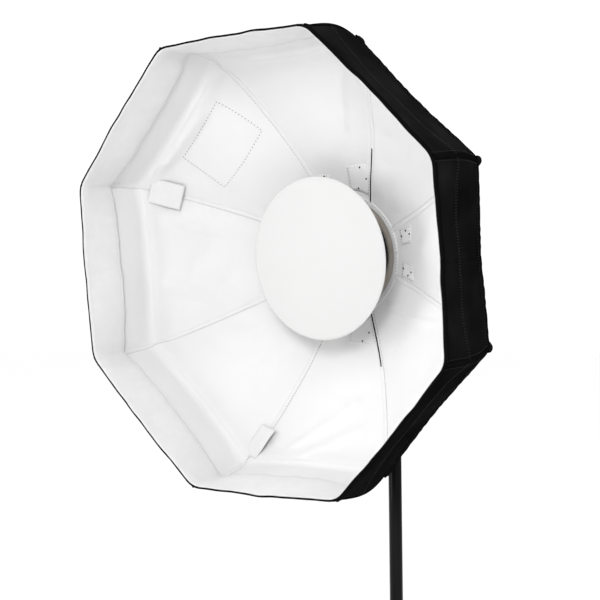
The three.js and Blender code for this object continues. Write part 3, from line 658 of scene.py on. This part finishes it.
def on_lining(corner, along, offset):
    """The around value beside a seam of the lining."""
    shift = SEAM_SHIFT.get(corner, 0) * smooth((1.5 - np.asarray(along)) * 1.2)
    return beside(corner, along, offset) + shift / np.array([panel_width(s) for s in np.atleast_1d(along)])


def lining_strip(corner, along, offsets, rises):
    """A grid of points along a seam of the lining, each row as far above its face as rises says."""
    around = np.stack([on_lining(corner, along, offset) for offset in offsets], axis=1)
    rows = np.repeat(np.asarray(along)[:, None], len(offsets), axis=1)
    return cloth(around, rows, inside(rows) - np.broadcast_to(rises, rows.shape))


SEAM_HALF = 0.0045
INSIDE = LINING - CLOTH / 2  # the lining's own face, away from the rear edge
FACING = 0.0003  # thickness of a strip or patch sewn on the lining
TAPE_THICK = 0.0005


def add_lining_seams():
    """A flat-felled seam over each rib: a raised strip with a row of stitches along one edge."""
    rows = []
    for corner in range(PANELS):
        offsets = [-SEAM_HALF, -SEAM_HALF * 0.93, 0, SEAM_HALF * 0.93, SEAM_HALF]
        points = lining_strip(corner, SEAM_ALONG, offsets, [0, 0.0007, 0.0009, 0.0007, 0])
        ribbon(f"lining_seam_{corner + 1}", points, SATIN, FACING)
        rows.append(line(on_lining(corner, SEAM_ALONG, SEAM_HALF), SEAM_ALONG, inside(SEAM_ALONG, 0.0005)))
    stitches("lining_seam_stitches", rows, SEAM_THREAD)


# The small patches, and the larger ones beside the two slits: side, gap to the seam, place along the cloth.
SMALL_PATCH = (0.030, 0.008, 0.135)
LARGE_PATCH = (0.052, 0.0015, 0.15)
PATCH_RISE = 0.0008
PATCH_STITCHES = 0.88  # how far out its stitches run, as a share of its half width
SLIT_CORNERS = (1, 6)
SLIT_ALONG = np.linspace(0.045, 0.36, 34)


def add_patches():
    """Doubled squares beside the ribs' ends, with their rivets."""
    rows, rivets = [], []
    for corner in range(PANELS):
        side = 1 if corner % 2 else -1
        size, gap, place = LARGE_PATCH if corner in SLIT_CORNERS else SMALL_PATCH
        centre = on_lining(corner, place, side * (size / 2 + gap))[0]
        half = size / 2 / panel_width(place)
        reach = size / 2 / DOME_LENGTH
        edge = np.linspace(-1, 1, 9)
        around, along = np.meshgrid(centre + half * edge, place + reach * edge)
        at_edge = np.maximum(*np.abs(np.meshgrid(edge, edge))) > 0.99
        lifts = np.where(at_edge, INSIDE, INSIDE - PATCH_RISE)
        ribbon(f"patch_{corner + 1}", cloth(around, along, lifts), SATIN, FACING)
        corners = []
        for a, b in ((-1, -1), (1, -1), (1, 1), (-1, 1)):
            corners.append((centre + half * a * PATCH_STITCHES, place + reach * b * PATCH_STITCHES))
        rows.append(line(*closed_path(corners), INSIDE - PATCH_RISE - 0.0004))
        for b, a in ((0.75, 0.0), (0.1, -0.55 * side), (-0.75, 0.1)):
            rivets.append((centre + half * a, place + reach * b))
    stitches("patch_stitches", rows, SEAM_THREAD, length=0.0020, pitch=0.0058)
    add_rivets("patch_rivets", rivets)


RIVET = 0.0019  # radius
RIVET_SIDES = 12
RIVET_PROFILE = ((1.0, 0.0), (0.95, 0.0006), (0.6, 0.0011))  # share of the radius, and height
RIVET_TOP = 0.0012


def add_rivets(name, places):
    """Small domed rivets through the cloth."""
    vertices, faces = [], []
    sides = RIVET_SIDES
    angles = [2 * math.pi * i / sides for i in range(sides)]
    for around, along in places:
        centre = cloth(np.array(around), np.array(along), INSIDE - PATCH_RISE)
        normal = cloth_normals(np.array(around), np.array(along))
        one = np.cross(normal, [0, 1, 0.1])
        one /= np.linalg.norm(one)
        two = np.cross(normal, one)
        base = len(vertices)
        for share, height in RIVET_PROFILE:
            for angle in angles:
                spoke = one * math.cos(angle) + two * math.sin(angle)
                vertices.append(centre + spoke * RIVET * share - normal * height)
        vertices.append(centre - normal * RIVET_TOP)
        top = base + 3 * sides
        for i in range(sides):
            j = (i + 1) % sides
            for level in (base, base + sides):
                faces.append((level + i, level + j, level + sides + j, level + sides + i))
            faces.append((base + 2 * sides + i, base + 2 * sides + j, top))
        faces.append(tuple(base + i for i in reversed(range(sides))))
    mesh_piece(name, to_world(np.array(vertices)), faces, "shell", DARK_METAL)


def add_slits():
    """At two corners the seam is left open near the ring. A black strip lies on the lining along each slit:
    partly the black outer cloth seen through it, partly painted shadow in the gap.
    """
    for corner in SLIT_CORNERS:
        side = 1 if corner % 2 else -1
        across = [-side * 0.0010, -side * 0.0006, side * 0.0004, side * 0.0012]
        # the black strip is painted shadow of the slit's gap, together with the black outer cloth behind it
        points = lining_strip(corner, SLIT_ALONG, across, [0, 0.0014, 0.0018, 0.0016])
        ribbon(f"opening_slit_{corner + 1}", points, TAPE, TAPE_THICK)


RING_HEM_TO = 0.045  # its outer edge, along the cloth
RING_HEM_STITCHES = 0.033
RING_HEM_THICK = 0.0004


def add_hem():
    """A turned hem with one row of stitches round the hole over the speed ring."""
    around = np.arange(PANELS * 24 + 1) / 24
    columns, rows = np.meshgrid(around, np.linspace(0, RING_HEM_TO, 5))
    lifts = np.array([0, -0.0012, -0.0014, -0.0012, 0])[:, None] + INSIDE
    points = cloth(columns, rows, np.broadcast_to(lifts, rows.shape))
    ribbon("ring_hem", points, SATIN, RING_HEM_THICK)
    around = np.linspace(0, PANELS, 240)
    hem_line = line(around, np.full(around.shape, RING_HEM_STITCHES), INSIDE - 0.0017)
    stitches("ring_hem_stitches", [hem_line], SEAM_THREAD, pitch=0.0058)


WINDOW_CORNERS = [(2.64, 0.58), (2.72, 0.90), (3.19, 0.90), (3.28, 0.59)]


def add_window():
    """A stitched four-sided outline on one panel, where something is sewn on behind."""
    around, along = closed_path(WINDOW_CORNERS, 30)
    rows = [line(around, along, inside(along, 0.0004))]
    stitches("window_stitches", rows, SEAM_THREAD, length=0.0026, pitch=0.0068, radius=0.0009)


# ---------- front band, rim binding and the outside's seams ----------

BAND_DEPTH = (BAND_Y - RIM_Y) / (REAR_Y - RIM_Y)
BAND_FROM = 1.998  # along the cloth, just behind the rim
BAND_HEM = 0.93  # its hem's stitches, as a share of its depth
BAND_DROP = 0.0042  # how far its free edge hangs off the lining
BAND_WAVE = 0.0007
BAND_THICK = 0.0006


def band_waves(around):
    """The light waves in the band's free edge."""
    turn = around * TURN
    return np.sin(turn * 40) + 0.8 * np.sin(turn * 67 + 2) + 0.5 * np.sin(turn * 111 + 1)


def add_front_band():
    """The white band inside the rim: sewn in at the rim, free at its hemmed rear edge."""
    around = np.arange(PANELS * AROUND_STEPS) / AROUND_STEPS
    share = np.r_[np.linspace(0, 0.96, 14), 0.985, 1.0, 1.0, 0.985]
    columns, rows = np.meshgrid(around, BAND_FROM - BAND_DEPTH * share)
    drop = (BAND_DROP + BAND_WAVE * band_waves(columns)) * smooth(share * 1.15)[:, None]
    lifts = INSIDE - 0.0014 - drop
    lifts[-2:] += 0.0018  # the hem is folded back
    points = cloth(columns, rows, lifts).transpose(1, 0, 2)
    points = np.concatenate([points, points[:1]])
    band = ribbon("front_white_band", points, WEBBING, BAND_THICK)
    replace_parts(band, "front_band")
    around = np.linspace(0, PANELS, 700)
    lifts = INSIDE - 0.0020 - BAND_DROP - BAND_WAVE * band_waves(around)
    hem = line(around, np.full(around.shape, BAND_FROM - BAND_DEPTH * BAND_HEM), lifts)
    stitches("front_band_stitches", [hem], PALE_THREAD, length=0.0030, pitch=0.0046)


TAPE_OUTSIDE = 0.0085  # how far the tape reaches back from the rim, outside
TAPE_INSIDE = 0.0004  # and inside, where it is hardly seen
TAPE_AT_CORNERS = 0.0040  # how much wider it is inside, where it is folded at a corner
CORNER_SPREAD = 0.06  # how far that reaches from the corner, in half panels


def add_rim_binding():
    """Black tape folded over the rim."""
    around = np.arange(PANELS * AROUND_STEPS + 1) / AROUND_STEPS
    turn = around * TURN
    at_corner = np.exp(-(((np.abs(around - np.round(around)) * 2 - 1) / CORNER_SPREAD) ** 2))
    wander = 0.0004 * np.sin(turn * 60) + 0.0003 * np.sin(turn * 37 + 1)
    edge = surface(around, np.full(around.shape, 2 - STEP))
    normal = cloth_normals(around, np.full(around.shape, 1.99))
    backwards = surface(around, np.full(around.shape, 1.9)) - edge
    backwards /= np.linalg.norm(backwards, axis=-1, keepdims=True)
    inside = TAPE_INSIDE + TAPE_AT_CORNERS * at_corner + wander
    outside = TAPE_OUTSIDE + wander
    section = [
        (-0.0012, inside), (-0.0014, inside * 0.5), (-0.0012, -0.0002), (-0.0006, -0.0006), (0.0004, -0.0006),
        (0.0012, -0.0002), (0.0022, 0.0030), (0.0022, outside), (0.0016, outside + 0.0005),
    ]
    rows = []
    for out, back_by in section:
        rows.append(edge + normal * out + backwards * np.broadcast_to(back_by, around.shape)[:, None])
    points = np.stack(rows, axis=1)
    tape = ribbon("rim_tape", points, TAPE, TAPE_THICK)
    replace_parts(tape, "rim_binding")


WELT_ALONG = np.linspace(1.0, 1.985, 34)
WELT_OFFSETS = (-0.00384, -0.0024, -0.00144, 0, 0.00144, 0.0024, 0.00384)
WELT_HEIGHTS = (0.0021, 0.0027, 0.00398, 0.0047, 0.00398, 0.0027, 0.0021)
WELT_STITCHES = 0.0065  # distance of its stitches from the corner
BAND_ROWS = (0.93, 0.87)  # the band's stitches seen outside, as shares of its depth
EDGE_ROWS = (0.965, 1.035)  # rows of stitches on both sides of the rear edge, along the cloth
PIPING_ALONG = (0.988, 0.992, 0.998, 1.004, 1.012, 1.018)
PIPING_HEIGHTS = (0.0020, 0.0042, 0.0056, 0.0056, 0.0042, 0.0020)


def add_outer_seams():
    """Welts down the wall's corners, piping round the rear edge, and the stitches beside them."""
    rows = []
    for corner in range(PANELS):
        points = strip(corner, WELT_ALONG, WELT_OFFSETS, WELT_HEIGHTS)
        ribbon(f"wall_welt_{corner + 1}", points, TAPE, TAPE_THICK)
        for offset in (-WELT_STITCHES, WELT_STITCHES):
            rows.append(line(beside(corner, WELT_ALONG, offset), WELT_ALONG, 0.0028))
    around = np.linspace(0, PANELS, 700)
    for share in BAND_ROWS:
        rows.append(line(around, np.full(around.shape, BAND_FROM - BAND_DEPTH * share), 0.0028))
    for place in EDGE_ROWS:
        rows.append(line(around, np.full(around.shape, place), 0.0030))
    stitches("outer_stitches", rows, DARK_THREAD, length=0.0026, pitch=0.0046)
    around = np.arange(PANELS * AROUND_STEPS + 1) / AROUND_STEPS
    piping = []
    for place, height in zip(PIPING_ALONG, PIPING_HEIGHTS):
        piping.append(cloth(around, np.full(around.shape, place), height))
    ribbon("rear_piping", np.stack(piping, axis=1), TAPE, TAPE_THICK)


# ---------- rib sleeves ----------

RIB_OUT = 0.0075  # from the cloth's middle to the rib's axis
SLEEVE_ALONG = np.linspace(0.035, 1.0, 60)
SLEEVE_HEMS = ((0.015, 0.0016), (0.0105, 0.0021))  # its sewn edges: distance from the corner, and height
SLEEVE_RADIUS = 0.0037
POCKET_WIDER = 0.0041  # where the rib's cap sits in it
CLOSING_NARROWER = 0.0032  # at its very end
SLEEVE_TIP = (0.0085, 0.0025)  # the folded tip past the rear corner: forward, and out
SLEEVE_STITCHES = 0.0128
SLEEVE_STITCHED = np.linspace(0.05, 0.97, 60)


def add_sleeve(corner):
    """A tunnel of cloth over one rib, with a pocket for the rib's cap and a folded tip. Gives its seams."""
    along = SLEEVE_ALONG
    middle = surface(np.full(along.shape, corner + 0.5), along)
    normal = cloth_normals(np.full(along.shape, corner + 0.5), along)
    forward = np.gradient(middle, axis=0)
    forward /= np.linalg.norm(forward, axis=1, keepdims=True)
    side = np.cross(normal, forward)
    closing = smooth((along - 0.974) * 36)
    radius = SLEEVE_RADIUS + POCKET_WIDER * smooth((along - 0.86) * 14) - CLOSING_NARROWER * closing
    centre = RIB_OUT - 0.0022 * closing
    tunnel = []
    for degrees in (-112, -90, -60, -30, 0, 30, 60, 90, 112):
        angle = math.radians(degrees)
        out = centre + radius * math.cos(angle)
        tunnel.append(middle + normal * out[:, None] + side * (radius * math.sin(angle))[:, None])
    one_hem = [cloth(beside(corner, along, -offset), along, lift) for offset, lift in SLEEVE_HEMS]
    other_hem = [cloth(beside(corner, along, offset), along, lift) for offset, lift in SLEEVE_HEMS]
    if (one_hem[0][30] - middle[30]) @ side[30] > 0:
        tunnel.reverse()
    points = np.stack(one_hem + tunnel + other_hem[::-1], axis=1)
    tip = middle[-1] + forward[-1] * SLEEVE_TIP[0] + normal[-1] * SLEEVE_TIP[1]
    flat = points[-1] + (tip - points[-1]) * 0.55
    point = tip + (points[-1] - middle[-1]) * 0.12
    points = np.concatenate([points, flat[None], point[None]])
    crumple = 0.0007 * np.abs(fractal(points, scale=0.02, seed=77.0, octaves=2)[..., None])
    out = np.concatenate([normal, normal[-1:], normal[-1:]])[:, None, :]
    ribbon(f"rib_sleeve_{corner + 1}", points + crumple * out, SLEEVE_CLOTH, TAPE_THICK)
    seams = []
    for offset in (-SLEEVE_STITCHES, SLEEVE_STITCHES):
        seams.append(line(beside(corner, SLEEVE_STITCHED, offset), SLEEVE_STITCHED, 0.0030))
    return seams


def add_sleeves():
    rows = []
    for corner in range(PANELS):
        rows += add_sleeve(corner)
    stitches("rib_sleeve_stitches", rows, DARK_THREAD, length=0.0026, pitch=0.0048)


# ---------- tags ----------


TAG_THICK = 0.0007


def add_tag(node, name, curl):
    """A blank woven tag, sewn along one long side and curling a little at the other."""
    cad = frame["nodes"][node]
    corners = np.array([cad.matrix_world @ vertex.co for vertex in cad.data.vertices])
    centre = corners.mean(axis=0)
    _, _, axes = np.linalg.svd(corners - centre)
    length, width, normal = axes
    size = [2 * np.abs((corners - centre) @ axis).max() for axis in axes]
    inward = np.array(SOFTBOX @ Vector((0, RIM_Y, 0))) - centre
    if normal @ inward < 0:
        normal = -normal
    across, down = np.meshgrid(np.linspace(-0.5, 0.5, 13), np.linspace(-0.5, 0.5, 19))
    rise = curl * (across + 0.5) ** 2 + 0.0006 * np.sin(down * 9) * (across + 0.5)
    points = (
        centre
        + across[..., None] * width * size[1] * 0.985
        + down[..., None] * length * size[0]
        + rise[..., None] * normal
    )
    faces = grid_faces(*across.shape)
    tag = mesh_piece(name, points.reshape(-1, 3), faces, "shell", WEBBING)
    add_uv(tag, np.stack([across * size[1], down * size[0]], axis=-1).reshape(-1, 2))
    thicken(tag, TAG_THICK)
    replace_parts(tag, node)


# ---------- deflector, speed ring and the fittings ----------


TURNED_SIDES = 160


def turned_piece(name, outline, body, material):
    """A piece turned about the softbox's axis, from an outline of (r, y) pairs from axis to axis."""
    segments = TURNED_SIDES
    angles = np.arange(segments) * 2 * math.pi / segments
    rows = []
    for r, y in outline:
        rows.append(np.stack([r * np.cos(angles), np.full(segments, y), r * np.sin(angles)], axis=1))
    points = np.stack(rows)
    vertices = to_world(points.reshape(-1, 3))
    piece = mesh_piece(name, vertices, grid_faces(len(rows), segments, closed=True), body, material)
    tidy = bmesh.new()
    tidy.from_mesh(piece.data)
    bmesh.ops.remove_doubles(tidy, verts=tidy.verts, dist=1e-6)
    bmesh.ops.recalc_face_normals(tidy, faces=tidy.faces)
    tidy.to_mesh(piece.data)
    tidy.free()
    return piece


ROUNDED_STEPS = 4


def rounded(outline, radius):
    """The outline with its corners rounded; corners on the axis stay."""
    result = []
    count = len(outline)
    for i, corner in enumerate(outline):
        corner = np.array(corner, float)
        before, after = np.array(outline[i - 1], float), np.array(outline[(i + 1) % count], float)
        if corner[0] < 1e-6:
            result.append(tuple(corner))
            continue
        to_before, to_after = before - corner, after - corner
        cut = min(radius, 0.45 * np.linalg.norm(to_before), 0.45 * np.linalg.norm(to_after))
        start = corner + to_before / np.linalg.norm(to_before) * cut
        end = corner + to_after / np.linalg.norm(to_after) * cut
        for k in range(ROUNDED_STEPS + 1):
            t = k / ROUNDED_STEPS
            result.append(tuple((1 - t) ** 2 * start + 2 * t * (1 - t) * corner + t * t * end))
    return result


DISC_EDGE = 0.0011  # radius of its rolled edge


def add_disc():
    """The spun deflector: a flat disc with a softly rolled edge."""
    disc = in_softbox("deflector_disc")
    radius, front, back_face = disc[:, 0].max(), disc[:, 1].min(), disc[:, 1].max()
    face = [(0, front + 0.0004), (radius * 0.6, front + 0.0002), (radius - 0.004, front)]
    edge = [(radius, front + 0.0012), (radius, back_face - 0.0002), (radius - 0.003, back_face + 0.0004)]
    back = [(radius - 0.006, back_face - 0.0008), (0, back_face - 0.0008)]
    outline = rounded(face + edge + back, DISC_EDGE)
    piece = turned_piece("deflector", outline, "deflector", DISC)
    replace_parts(piece, "deflector_disc")


CAD_EDGE = 0.0006  # how far the CAD's own edges are rounded


def round_cad(node, material):
    """Finish for a piece that keeps the CAD's own shape."""
    piece = frame["nodes"][node]
    piece.data.materials.clear()
    piece.data.materials.append(material)
    weld = piece.modifiers.new("weld", "WELD")
    weld.merge_threshold = 1e-5
    bevel = piece.modifiers.new("bevel", "BEVEL")
    bevel.width = CAD_EDGE
    bevel.segments = 2
    bevel.limit_method = "ANGLE"
    bevel.angle_limit = math.radians(32)
    bevel.harden_normals = True
    piece.data.polygons.foreach_set("use_smooth", [True] * len(piece.data.polygons))
    piece.data.update()


def add_fittings():
    """Finishes for everything that is seen as the CAD made it."""
    coated = ["ring_adapter", "tilt_bracket", "tilt_head", "deflector_spider", "base_hub"]
    coated += [f"leg_{side}" for side in ("front", "right", "left")]
    plastic = ["column_collar", "collar_knob", "hub_knob", "receiver_knob", "ring_lock_knob", "tilt_lever"]
    plastic += [f"deflector_screw_{i + 1}" for i in range(3)]
    plastic += [f"rib_cap_{i + 1}" for i in range(PANELS)]
    steel = ["stud", "tilt_bolt", "leg_pin_right", "leg_pin_left"]
    steel += [f"deflector_rod_{i + 1}" for i in range(3)]
    steel += [f"rib_{i + 1}" for i in range(PANELS)]
    finishes = {
        CAST: ["speed_ring"],
        COAT: coated,
        TUBE: ["column", "riser"],
        PLASTIC: plastic,
        STEEL: steel,
        RUBBER: [f"foot_{side}" for side in ("front", "right", "left")],
    }
    for material, nodes in finishes.items():
        for node in nodes:
            round_cad(node, material)


# ---------- lights, floor, camera ----------

VIEW_AZIMUTH = math.radians(38.34)
VIEW_DISTANCE = 2.3355  # from the rim's centre
VIEW_ASIDE = 0.0908  # how far the camera stands to the right of the line to that centre
VIEW_BELOW = 0.0541  # and below it
VIEW_ROLL = math.radians(0.66)
VIEW_LENS = 84.5  # mm


def add_camera():
    """Level with the softbox, to its right, as in the photograph."""
    rim_centre = SOFTBOX @ Vector((0, RIM_Y, 0))
    right = Vector((math.cos(VIEW_AZIMUTH), math.sin(VIEW_AZIMUTH), 0))
    ahead = Vector((-math.sin(VIEW_AZIMUTH), math.cos(VIEW_AZIMUTH), 0))
    data = bpy.data.cameras.new("camera")
    data.lens = VIEW_LENS
    data.clip_end = 100
    camera = bpy.data.objects.new("camera", data)
    camera.location = rim_centre + right * VIEW_ASIDE - ahead * VIEW_DISTANCE - Vector((0, 0, VIEW_BELOW))
    level = Matrix((right, Vector((0, 0, 1)), -ahead)).transposed()
    camera.rotation_euler = (level @ Matrix.Rotation(-VIEW_ROLL, 3, "Z")).to_euler()
    bpy.context.scene.collection.objects.link(camera)
    bpy.context.scene.camera = camera


FLOOR = 14  # half its side


def add_floor():
    mesh = bpy.data.meshes.new("floor")
    corners = [(-FLOOR, -FLOOR, 0), (FLOOR, -FLOOR, 0), (FLOOR, FLOOR, 0), (-FLOOR, FLOOR, 0)]
    mesh.from_pydata(corners, [], [(0, 1, 2, 3)])
    m = Nodes("floor_white", (0.93, 0.93, 0.93), 0.7)
    m.tint(m.noise(2, 3), (0.925, 0.925, 0.925), (0.94, 0.94, 0.94))
    mesh.materials.append(m.material)
    floor = bpy.data.objects.new("floor", mesh)
    bpy.context.scene.collection.objects.link(floor)


LIT_POINT = (0, 0, 0.8)  # what both lamps are aimed at


def add_light(name, location, side, power):
    """A square studio lamp: side in metres, power in watts."""
    data = bpy.data.lights.new(name, "AREA")
    data.shape = "RECTANGLE"
    data.size = side
    data.size_y = side
    data.energy = power
    light = bpy.data.objects.new(name, data)
    light.location = location
    light.rotation_euler = (Vector(LIT_POINT) - Vector(location)).to_track_quat("-Z", "Y").to_euler()
    bpy.context.scene.collection.objects.link(light)


SKYLIGHT = 1.7
SKYLIGHT_SPREAD = math.radians(120)


def add_skylight():
    """Broad, weak light straight down, so that the far floor is as pale as the background."""
    data = bpy.data.lights.new("skylight", "SUN")
    data.energy = SKYLIGHT
    data.angle = SKYLIGHT_SPREAD
    light = bpy.data.objects.new("skylight", data)
    bpy.context.scene.collection.objects.link(light)


ROOM_LIGHT = 0.55
BACKDROP = 1.05  # brightness of the background as the camera sees it


def add_world():
    """An even white room. The camera sees a brighter white than what lights the object."""
    world = bpy.data.worlds.new("studio")
    world.use_nodes = True
    tree = world.node_tree
    background = tree.nodes["Background"]
    background.inputs["Color"].default_value = (1, 1, 1, 1)
    background.inputs["Strength"].default_value = ROOM_LIGHT
    seen = tree.nodes.new("ShaderNodeBackground")
    seen.inputs["Color"].default_value = (1, 1, 1, 1)
    seen.inputs["Strength"].default_value = BACKDROP
    path = tree.nodes.new("ShaderNodeLightPath")
    mix = tree.nodes.new("ShaderNodeMixShader")
    tree.links.new(path.outputs["Is Camera Ray"], mix.inputs[0])
    tree.links.new(background.outputs[0], mix.inputs[1])
    tree.links.new(seen.outputs[0], mix.inputs[2])
    tree.links.new(mix.outputs[0], tree.nodes["World Output"].inputs["Surface"])
    bpy.context.scene.world = world
    bpy.context.scene.view_settings.view_transform = "Standard"


add_lining()
add_outer_cloth()
add_lining_seams()
add_patches()
add_slits()
add_hem()
add_window()
add_front_band()
add_rim_binding()
add_outer_seams()
add_sleeves()
add_tag("seam_tag", "upper_tag", curl=0.004)
add_tag("side_tag", "lower_tag", curl=0.006)
add_disc()
add_fittings()

add_camera()
add_floor()
add_world()
add_light("key", (1.5, -3.2, 1.9), side=1.1, power=66)
add_light("fill", (-2.4, -2.6, 1.3), side=2.0, power=40)
add_skylight()
